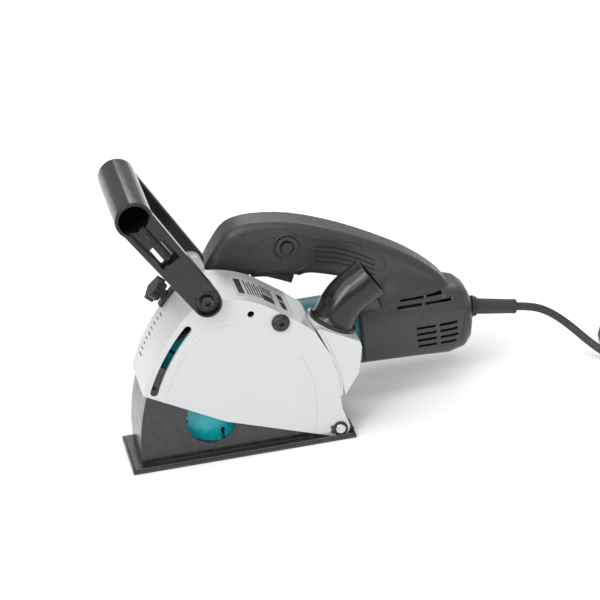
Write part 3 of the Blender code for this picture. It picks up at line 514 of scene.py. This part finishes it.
def barrel_section(x):
    """The rear housing's middle height, half width, half height and squareness at x."""
    for low, high in zip(BARREL, BARREL[1:]):
        if x <= high[0]:
            break
    t = (x - low[0]) / (high[0] - low[0])
    return [a + (b - a) * t for a, b in zip(low[1:], high[1:])]


def barrel_side(x, z):
    """How far the side of the rear housing is from its middle, at a place in its side view."""
    middle, wide, tall, power = barrel_section(x)
    return wide * max(1 - (abs(z - middle) / tall) ** power, 0.0) ** (1 / power)


def side_name(way):
    """The side that a direction along Y leads to."""
    return "near" if way < 0 else "far"


def grip_outline():
    """The side view of the rear handle, as the solid has it."""
    top = [(-101.2, 155.2), (-89, 174.2), (-74, 189.8), (-49, 193.5), (-11, 187.7), (34.6, 170.4)]
    top += [(80, 146.2), (105, 129.2), (124, 112.2), (134, 99.2), (142, 84.2), (153, 76.2)]
    under = [(-12.5, 132.8), (-1, 134), (19, 128.2), (38, 121.2), (53, 110.2), (61, 94.2)]
    top = [(p.x, p.z) for p in smooth_route([(x, 0, z) for x, z in top], 3)]
    under = [(p.x, p.z) for p in smooth_route([(x, 0, z) for x, z in under], 3)]
    foot = [(-13, 134.2), (-56.5, 138.7), (-58.5, 142.2), (-91, 146.2), (-95, 147.2)]
    return top + [(150, 64), (64, 64)] + under[::-1] + foot


def grip_mesh():
    """The rear handle's outline as a solid with rounded edges."""
    round_over = 9.0
    curve = bpy.data.curves.new("grip_skin", "CURVE")
    curve.dimensions = "2D"
    curve.fill_mode = "BOTH"
    curve.extrude = (GRIP_HALF + SKIN_GAP - round_over) * MM
    curve.bevel_depth = round_over * MM
    curve.bevel_resolution = 7
    curve.offset = (SKIN_GAP - round_over) * MM
    spline = curve.splines.new("POLY")
    outline = grip_outline()
    spline.points.add(len(outline) - 1)
    for point, (x, z) in zip(spline.points, outline):
        point.co = (x * MM, z * MM, 0, 1)
    spline.use_cyclic_u = True
    shape = bpy.data.objects.new("grip_shape", curve)
    bpy.context.scene.collection.objects.link(shape)
    shape.rotation_euler = (pi / 2, 0, 0)
    shape.location = (0, MOTOR_Y * MM, 0)
    bpy.context.view_layer.update()
    mesh = bpy.data.meshes.new_from_object(shape.evaluated_get(bpy.context.evaluated_depsgraph_get()))
    mesh.transform(shape.matrix_world)
    bpy.data.objects.remove(shape)
    welded = bmesh.new()
    welded.from_mesh(mesh)
    bmesh.ops.remove_doubles(welded, verts=welded.verts, dist=0.01 * MM)
    bmesh.ops.recalc_face_normals(welded, faces=welded.faces)
    welded.to_mesh(mesh)
    welded.free()
    mesh.shade_smooth()
    mesh.set_sharp_from_angle(angle=radians(40))
    mesh.materials.clear()
    return mesh


def grip_skin():
    """The rear handle's moulded surface, a finer skin just outside the faceted shells."""
    skin = finished("grip_skin", grip_mesh(), "tool", LOOKS["grey_plastic"])
    x, z = LOCK_BUTTON
    trigger_mouth = (Matrix.Translation((-34.7, MOTOR_Y, 132)), (43, 21.2, 50))
    button_hole = (Matrix.Translation((x, MOTOR_Y - GRIP_HALF, z)), (18, 8, 18))
    motor_room = (Matrix.Translation((90, MOTOR_Y, 66)), (130, 31, 40))
    cut_with(skin, hidden_cutter("grip_cutter", [trigger_mouth, button_hole, motor_room]))
    even = skin.modifiers.new("even_normals", "WEIGHTED_NORMAL")
    even.keep_sharp = True


def barrel_skin():
    """The rear housing's moulded surface, a finer skin just outside the faceted shells."""
    stations = [HOUSING_FRONT - 0.1 + 4 * i for i in range(22)]
    stations += [*range(128, 146, 3), *range(145, 153, 2), 152.5, 153.8, 154.9]
    sides = 96
    shape = bmesh.new()
    loops = []
    for x in stations:
        middle, wide, tall, power = barrel_section(x)
        loop = []
        for k in range(sides):
            turn = 2 * pi * (k + 0.5) / sides
            out = cos(turn)
            up = sin(turn)
            flat = abs(out / (wide + SKIN_GAP)) ** power + abs(up / (tall + SKIN_GAP)) ** power
            reach = flat ** (-1 / power)
            place = Vector((x, MOTOR_Y + reach * out, middle + reach * up))
            loop.append(shape.verts.new(place * MM))
        loops.append(loop)
    for a, b in zip(loops, loops[1:]):
        band(shape, b, a)
    shape.faces.new(loops[-1])
    bmesh.ops.recalc_face_normals(shape, faces=shape.faces)
    mesh = mesh_from(shape, "barrel_skin")
    mesh.shade_smooth()
    thicken(finished("barrel_skin", mesh, "tool", LOOKS["grey_plastic"]), 2)


def rear_vents():
    """Air slots in both sides of the rear housing."""
    rows = [  # height, front end and rear end of each slot
        (97.0, 81.5, 105),
        (97.0, 108, 124),
        (90.5, 78, 102.5),
        (90.5, 106, 132),
        (67.0, 95, 114),
        (67.0, 118, 136),
        (60.5, 95, 114),
        (60.5, 118, 136),
        (54.0, 95, 114),
        (54.0, 118, 136),
        (47.5, 96, 114),
        (47.5, 118, 134),
    ]
    for way in (-1, 1):
        y = MOTOR_Y + way * 36
        places = [(Matrix.Translation(((a + b) / 2, y, z)), (b - a, 32, 2.6)) for z, a, b in rows]
        cutter = hidden_cutter(f"vent_cutter_{side_name(way)}", places)
        cut_with(node_object(f"handle_shell_{side_name(way)}"), cutter)
        for name in (f"shoulder_{side_name(way)}", "grip_skin", "barrel_skin"):
            cut_with(node_object(name), cutter)


def vent_shade_sheets():
    """Near-black sheets that follow the sides of the rear housing, behind the air slots: painted shade
    for the housing's dark inside.
    """
    depth = 5.0
    for way in (-1, 1):
        shape = bmesh.new()
        grid = []
        for x in range(76, 142, 6):
            line = []
            for z in range(43, 101, 4):
                place = Vector((x, MOTOR_Y + way * (barrel_side(x, z) - depth), z))
                line.append(shape.verts.new(place * MM))
            grid.append(line)
        join_rows(shape, grid)
        # Painted shade: a near-black sheet so that the slots look dark inside
        name = f"vent_painted_shade_{side_name(way)}"
        finished(name, mesh_from(shape, name), "tool", DARK)


def shoulders():
    """The curved flanks that lead from the grip into the wider motor housing."""
    stations = [  # (x, z) of the lower and the upper edge
        ((62.5, 92), (60, 110)),
        ((70, 92), (68, 124)),
        ((84, 92), (83, 130)),
        ((99, 91.5), (99, 122)),
        ((114, 91), (115, 110)),
        ((129, 89), (131, 99)),
        ((141, 84), (143, 88)),
    ]
    rows = 8
    for way in (-1, 1):
        shape = bmesh.new()
        grid = []
        for (x0, z0), (x1, z1) in stations:
            start = barrel_side(x0, z0) + 0.6
            line = []
            for i in range(rows + 1):
                t = i / rows
                out = start + (GRIP_HALF + 0.2 - start) * t * t * (3 - 2 * t)
                place = Vector((x0 + (x1 - x0) * t, MOTOR_Y + way * out, z0 + (z1 - z0) * t))
                line.append(shape.verts.new(place * MM))
            grid.append(line)
        join_rows(shape, grid, flip=way > 0)
        mesh = mesh_from(shape, "shoulder")
        mesh.shade_smooth()
        name = f"shoulder_{side_name(way)}"
        flank = finished(name, mesh, "tool", LOOKS["grey_plastic"])
        smooth = flank.modifiers.new("smooth", "SUBSURF")
        smooth.levels = 2
        smooth.render_levels = 2
        thicken(flank, 3)


def housing_lines():
    """Moulded panel lines on the rear handle and housing, and near-black lines on the grip that are
    painted shade for its grooves.
    """
    panel = [(94.7, 71.8), (104.9, 80.4), (143.1, 78.8), (145.7, 75.3), (140.6, 48.2), (130.4, 40.7)]
    dense = []
    for (x0, z0), (x1, z1) in zip(panel, panel[1:]):
        dense += [(x0 + (x1 - x0) * i / 5, z0 + (z1 - z0) * i / 5) for i in range(5)]
    dense.append(panel[-1])
    trigger_panel = [(-61, 167), (-50, 178), (-7, 177), (-3, 148), (-12, 141)]
    grip_panel = [(2, 172), (44, 161), (51, 152), (62, 149.7), (72, 134), (65, 127)]
    for way in (-1, 1):
        side = side_name(way)
        line = [(x, MOTOR_Y + way * (barrel_side(x, z) + SKIN_GAP), z) for x, z in dense]
        ridge(f"vent_panel_{side}", line, 0.9, "tool", LOOKS["grey_plastic"])
        y = MOTOR_Y + way * (GRIP_HALF + SKIN_GAP)
        for name, outline in (("trigger_panel", trigger_panel), ("grip_panel", grip_panel)):
            route = smooth_route([(x, y, z) for x, z in outline], 5)
            ridge(f"{name}_{side}", route, 0.8, "tool", LOOKS["grey_plastic"])
        # Four near-black beads on the grip: painted shade standing for its grooves
        for i in range(4):
            drop = 5.2 * i
            line = [(4, 163.5), (24, 158.5), (44, 149.5), (61, 139)]
            route = smooth_route([(x, y, z - drop) for x, z in line], 6)
            ridge(f"grip_groove_shade_{i}_{side}", route, 0.7, "tool", DARK)
        parting = [(x, MOTOR_Y + way * (barrel_side(x, 92) + 0.5), 92) for x in range(42, 66, 4)]
        ridge(f"parting_line_{side}", parting, 0.35, "tool", DARK)


def button_collar():
    """A broken ring around the lock button."""
    x, z = LOCK_BUTTON
    middle = (x, MOTOR_Y - GRIP_HALF - SKIN_GAP, z)
    ring = around(middle, ALONG_X, ALONG_Z, 12.5, 24, start=-60, sweep=300)
    ridge("button_ring", ring, 1.2, "tool", LOOKS["grey_plastic"])


def cover_lines():
    """Raised contour lines cast into the cover's face."""
    inner = [(-91.5, 134.9), (-105.6, 134.7), (-118.7, 130.2), (-130.7, 121.0), (-142.3, 108.5)]
    inner += [(-151.2, 93.5), (-159.5, 76.4), (-163.3, 66.8)]
    right = [(-32.5, 92.3), (-25.2, 75.5), (-21.1, 57.2), (-20.6, 40.5), (-23.1, 12.0)]
    rear = [(-4.8, 90.6), (1.4, 73.9), (3.0, 52.9)]
    top = [(-124.8, 134.4), (-119, 138.5), (-113.7, 141.3)]
    for name, outline in (("inner", inner), ("right", right), ("rear", rear), ("top", top)):
        route = smooth_route([(x, NEAR_FACE + 0.25, z) for x, z in outline], 6)
        ridge(f"cover_line_{name}", route, 0.7, "tool", LOOKS["silver_paint"])


def port_seam():
    """The rounded step from the cover's rear edge to the duct behind it."""
    edge = [(-11, 115), (-1.6, 91), (4.8, 67.6), (6.2, 53.4), (5.6, 44)]
    route = smooth_route([(x - 1.4, NEAR_FACE + 1.8, z) for x, z in edge], 5)
    ridge("port_seam", route, 1.9, "tool", LOOKS["silver_paint"])


def scale_ticks():
    """The depth scale's marks on the front of the cover."""
    radius = COVER_RADIUS + 0.1
    far_end = 25
    places = []
    for i in range(9):
        angle = radians(26 + 1.6 * i)
        length = 9.0 if i % 4 == 0 else 5.5
        middle = (PIVOT[0] - radius * cos(angle), far_end - length / 2, PIVOT[1] + radius * sin(angle))
        place = Matrix.Translation(middle) @ Matrix.Rotation(angle, 4, "Y")
        places.append((place, (0.5, length, 0.7)))
    blocks("scale_ticks", places, "tool", DARK)


def on_crown(distance):
    """A place on the label, so far along it from its front edge, with Z out of the crown."""
    radius = CROWN_RADIUS + 0.9
    first, last = (radians(angle) for angle in LABEL_ARC)
    arc_length = radius * (last - first)
    angle = min(first + distance / radius, last)
    x = SPINDLE[0] - radius * cos(angle)
    z = SPINDLE[1] + radius * sin(angle)
    if distance > arc_length:
        run = distance - arc_length
        angle = LABEL_FLAT
        x += run * sin(angle)
        z += run * cos(angle)
    return Matrix.Translation((x, 0, z)) @ Matrix.Rotation(angle - pi / 2, 4, "Y")


def label_marks():
    """Plain bars where a rating plate is printed: distance along it, y, width and length."""
    bars = [(5, -1, 6, 34), (33, -12, 12, 14), (50, -10, 6, 16), (50, 8, 6, 12)]
    bars += [(11.5 + 2.8 * i, -1 - 2 * (i % 2), 1.1, 32 - 4 * (i % 2)) for i in range(6)]
    bars += [(29 + 2.6 * i, 7, 1.1, 18 - 3 * (i % 2)) for i in range(5)]
    places = []
    for distance, y, width, length in bars:
        places.append((on_crown(distance) @ Matrix.Translation((0, y, 0)), (width, length, 0.25)))
    blocks("label_marks", places, "tool", DARK)


def tube_mesh(name, places, outer, bore, sides=56):
    """A hollow tube with flat ends along places in millimetres, with an outer radius for each."""
    shape = bmesh.new()
    loops = []
    for i, place in enumerate(places):
        run = (places[min(i + 1, len(places) - 1)] - places[max(i - 1, 0)]).normalized()
        over = run.cross(ALONG_Y).normalized()
        pair = []
        for radius in (outer[i], bore):
            ring = around(place, ALONG_Y, over, radius, sides)[:-1]
            pair.append([shape.verts.new(point * MM) for point in ring])
        loops.append(pair)
    for first, second in zip(loops, loops[1:]):
        band(shape, first[0], second[0])
        band(shape, second[1], first[1])
    band(shape, loops[0][1], loops[0][0])
    band(shape, loops[-1][0], loops[-1][1])
    bmesh.ops.recalc_face_normals(shape, faces=shape.faces)
    mesh = mesh_from(shape, name)
    mesh.shade_smooth()
    mesh.set_sharp_from_angle(angle=radians(50))
    return mesh


def fine_nozzle():
    """The bent hose socket with its flange, bead and rim, finer than the solid it stands for."""
    points = [NOZZLE_FOOT + NOZZLE_AXIS * step for step in (0.4, 3.2, 3.3, 5.5, 8.0)]
    proud = [3.0, 3.0, 1.6, 0.4, 0.0]
    a = NOZZLE_FOOT + NOZZLE_AXIS * 11
    b = NOZZLE_FOOT + NOZZLE_AXIS * 27
    c = NOZZLE_END - NOZZLE_OUT * 16
    for i in range(17):
        t = i / 16
        points.append(a * (1 - t) ** 2 + b * 2 * t * (1 - t) + c * t * t)
        proud.append(0.0)
    points += [NOZZLE_END - NOZZLE_OUT * back for back in (3.2, 3.0, 0.4, 0.0)]
    proud += [0.0, 0.5, 0.5, 0.0]
    outer = [NOZZLE_RADIUS + more for more in proud]
    mesh = tube_mesh("nozzle_fine", points, outer, NOZZLE_BORE)
    nozzle = finished("nozzle_fine", mesh, "dust_nozzle", LOOKS["gloss_plastic"])
    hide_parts("dust_nozzle")


def base_lines():
    """The beads at the foot of the base's wall and round the edge of its sole."""
    wall_y = -28.8
    side_y = -37.2
    front_x = -198.4
    foot = [(x, wall_y, SOLE_TOP + 0.3) for x in (-176, -150, -100, -50, -16)]
    ridge("wall_foot_near", foot, 1.0, "base", LOOKS["black_paint"])
    side = [(x, side_y, SOLE_TOP) for x in (-198, 12)]
    ridge("sole_rim_near", side, 1.1, "base", LOOKS["black_paint"])
    front = [(front_x, y, SOLE_TOP) for y in (-36, 34)]
    ridge("sole_rim_front", front, 1.1, "base", LOOKS["black_paint"])


def handle_lines():
    """The mould lines of the front handle's bar and arms."""
    x, z = BAR
    look = LOOKS["gloss_plastic"]
    for angle in (100, 280):
        across = BAR_RADIUS * cos(radians(angle))
        rise = BAR_RADIUS * sin(radians(angle))
        edge = [(x + across, y, z + rise) for y in (-43, 10, FAR_ARM_INNER + 10)]
        ridge(f"bar_line_{angle}", edge, 0.35, "front_handle", look)
    toward_hub = degrees(atan2(HUB[1] - z, HUB[0] - x))
    middle = (x, ARM_OUTER + 0.8, z)
    rim = around(middle, ALONG_X, ALONG_Z, BAR_RADIUS - 1.2, 32, start=toward_hub + 48, sweep=264)
    ridge("bar_rim", rim, 1.0, "front_handle", look)
    middle = (HUB[0], ARM_OUTER + 0.1, HUB[1])
    ridge("hub_rim", around(middle, ALONG_X, ALONG_Z, 12.4, 32), 0.8, "front_handle", look)


def guard_ring():
    """The raised rings at the two ends of the cord's strain relief."""
    run = (GUARD_END - GUARD_START).normalized()
    over = run.cross(ALONG_Y)
    for name, distance, radius, bead in (("guard_ring", 1.6, 8.2, 1.6), ("guard_lip", 41.8, 6.6, 0.8)):
        ring = around(GUARD_START + run * distance, ALONG_Y, over, radius, 32)
        ridge(name, ring, bead, "tool", LOOKS["rubber"])


def stub(shape, place, base, tip, depth, sides):
    """Adds a tapered disc that faces the far side, its middle at a place in millimetres."""
    made = bmesh.ops.create_cone(
        shape, cap_ends=True, segments=sides, radius1=base, radius2=tip, depth=depth
    )["verts"]
    turn = Matrix.Rotation(-pi / 2, 4, "X")
    bmesh.ops.transform(shape, matrix=Matrix.Translation(place) @ turn, verts=made)


def gear_case_detail():
    """The bearing cap, its screws and the joint lines on the far side of the gear case."""
    x, z = SPINDLE
    screws = bmesh.new()
    for place in around((x, 98.0, z), ALONG_X, ALONG_Z, 33, 3, start=40, sweep=270):
        stub(screws, place, 4.2, 3.15, 2.2, 24)
        stub(screws, place + ALONG_Y * 1.15, 1.9, 1.9, 0.3, 6)
    mesh = mesh_from(screws, "gear_case_screws", MM)
    finished("gear_case_screws", mesh, "tool", LOOKS["black_oxide_steel"])
    cap_shape = bmesh.new()
    stub(cap_shape, Vector((x, 98.6, z)), 19, 17, 4, 64)
    mesh = mesh_from(cap_shape, "bearing_cap", MM)
    cap = finished("bearing_cap", mesh, "tool", LOOKS["silver_paint"])
    edge = cap.modifiers.new("rounded", "BEVEL")
    edge.width = 0.6 * MM
    edge.segments = 2
    for name, y in (("case_joint", 52.0), ("case_edge", 93.5)):
        ring = around((x, y, z), ALONG_X, ALONG_Z, GEAR_CASE_RADIUS, 64)
        ridge(name, ring, 0.5, "tool", LOOKS["silver_paint"])


def motor_detail():
    """Rings and ribs moulded on the motor housing."""
    for name, x in (("motor_ring_front", -52), ("motor_ring_rear", 34)):
        ring = around((x, MOTOR_Y, SPINDLE[1]), ALONG_Y, ALONG_Z, MOTOR_RADIUS + 0.2, 48)
        ridge(name, ring, 0.9, "tool", LOOKS["teal_plastic"])
    radius = MOTOR_RADIUS + 0.1
    for i in range(8):
        turn = radians(-52 + 15 * i)
        y = MOTOR_Y + radius * cos(turn)
        z = SPINDLE[1] + radius * sin(turn)
        ridge(f"motor_rib_{i}", [(-50, y, z), (32, y, z)], 0.6, "tool", LOOKS["teal_plastic"])


# --- supply cord --------------------------------------------------------------


def eased(value, start, end):
    """Runs smoothly from 0 at start to 1 at end."""
    t = min(max((value - start) / (end - start), 0.0), 1.0)
    return t * t * (3 - 2 * t)


def coil_points():
    """The turns of the coil: four columns from the outside in, four back out above them, then up."""
    pitch = 2 * CORD_RADIUS
    outer = COIL_TURN + 1.5 * pitch
    steps = int(COIL_TURNS * 26)
    x, y = COIL_CENTRE
    points = []
    for i in range(1, steps + 1):
        turn = COIL_TURNS * i / steps
        inward = sum(eased(turn, start, start + COIL_STEP) for start in (1, 2, 3))
        outward = sum(eased(turn, start, start + COIL_STEP) for start in (5, 6, 7))
        radius = outer + COIL_LEAD_IN * (1 - eased(turn, 0, 0.2)) - pitch * (inward - outward)
        radius -= 1.5 * pitch * eased(turn, COIL_TURNS - 0.35, COIL_TURNS)
        height = CORD_RADIUS + pitch * eased(turn, 3.65, 4) + (pitch + 0.4) * eased(turn, 7.3, 7.5)
        angle = COIL_START + 2 * pi * turn
        points.append(Vector((x + radius * cos(angle), y + radius * sin(angle), height)))
    return points


def tail_points():
    """The last stretch, from the top of the coil into the plug."""
    x, y = COIL_CENTRE
    points = []
    for i in range(1, 8):
        turn = radians(196 + 8 * i)
        height = COIL_HEIGHT + CORD_RADIUS + 0.4 + 5.5 * (i / 7) ** 2
        points.append(Vector((x + COIL_TURN * cos(turn), y + COIL_TURN * sin(turn), height)))
    points.append(Vector((PLUG_LOW[0] - 0.6, y - COIL_TURN, PLUG_LOW[2] + 11)))
    return points


def plug_detail():
    """The plug's steel pins and the grip ribs round its body."""
    low_x, low_y, low_z = PLUG_LOW
    high_x, high_y, high_z = PLUG_HIGH
    inset = 2.2
    middle = (low_z + high_z) / 2
    pieces = []
    for i, y in enumerate((3.0, 22.0)):
        pin = [(high_x + 0.3, y, middle), (high_x + 18.6, y, middle)]
        pieces.append(ridge(f"plug_pin_{i}", pin, 2.5, "tool", LOOKS["steel"]))
    for i in range(4):
        x = low_x + 8 + 4.5 * i
        outline = [
            (x, low_y + inset, high_z),
            (x, high_y - inset, high_z),
            (x, high_y, high_z - inset),
            (x, high_y, low_z + inset),
            (x, high_y - inset, low_z),
            (x, low_y + inset, low_z),
            (x, low_y, low_z + inset),
            (x, low_y, high_z - inset),
            (x, low_y + inset, high_z),
        ]
        pieces.append(ridge(f"plug_rib_{i}", outline, 0.8, "tool", LOOKS["rubber"], 2))
    return pieces


def add_cord():
    """The whole cord as one piece, with the plug on its far end."""
    points = smooth_route(CORD_ROUTE, 4) + coil_points() + tail_points()
    cord = ridge("supply_cord", points, CORD_RADIUS, "tool", LOOKS["rubber"], 4)
    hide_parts("cord", "cord_coil", "cord_tail")
    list(plug_detail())


add_camera()
add_cord()
add_studio()
dress_nodes()
shoulders()
grip_skin()
barrel_skin()
rear_vents()
vent_shade_sheets()
housing_lines()
button_collar()
cover_lines()
port_seam()
scale_ticks()
label_marks()
fine_nozzle()
base_lines()
handle_lines()
guard_ring()
gear_case_detail()
motor_detail()
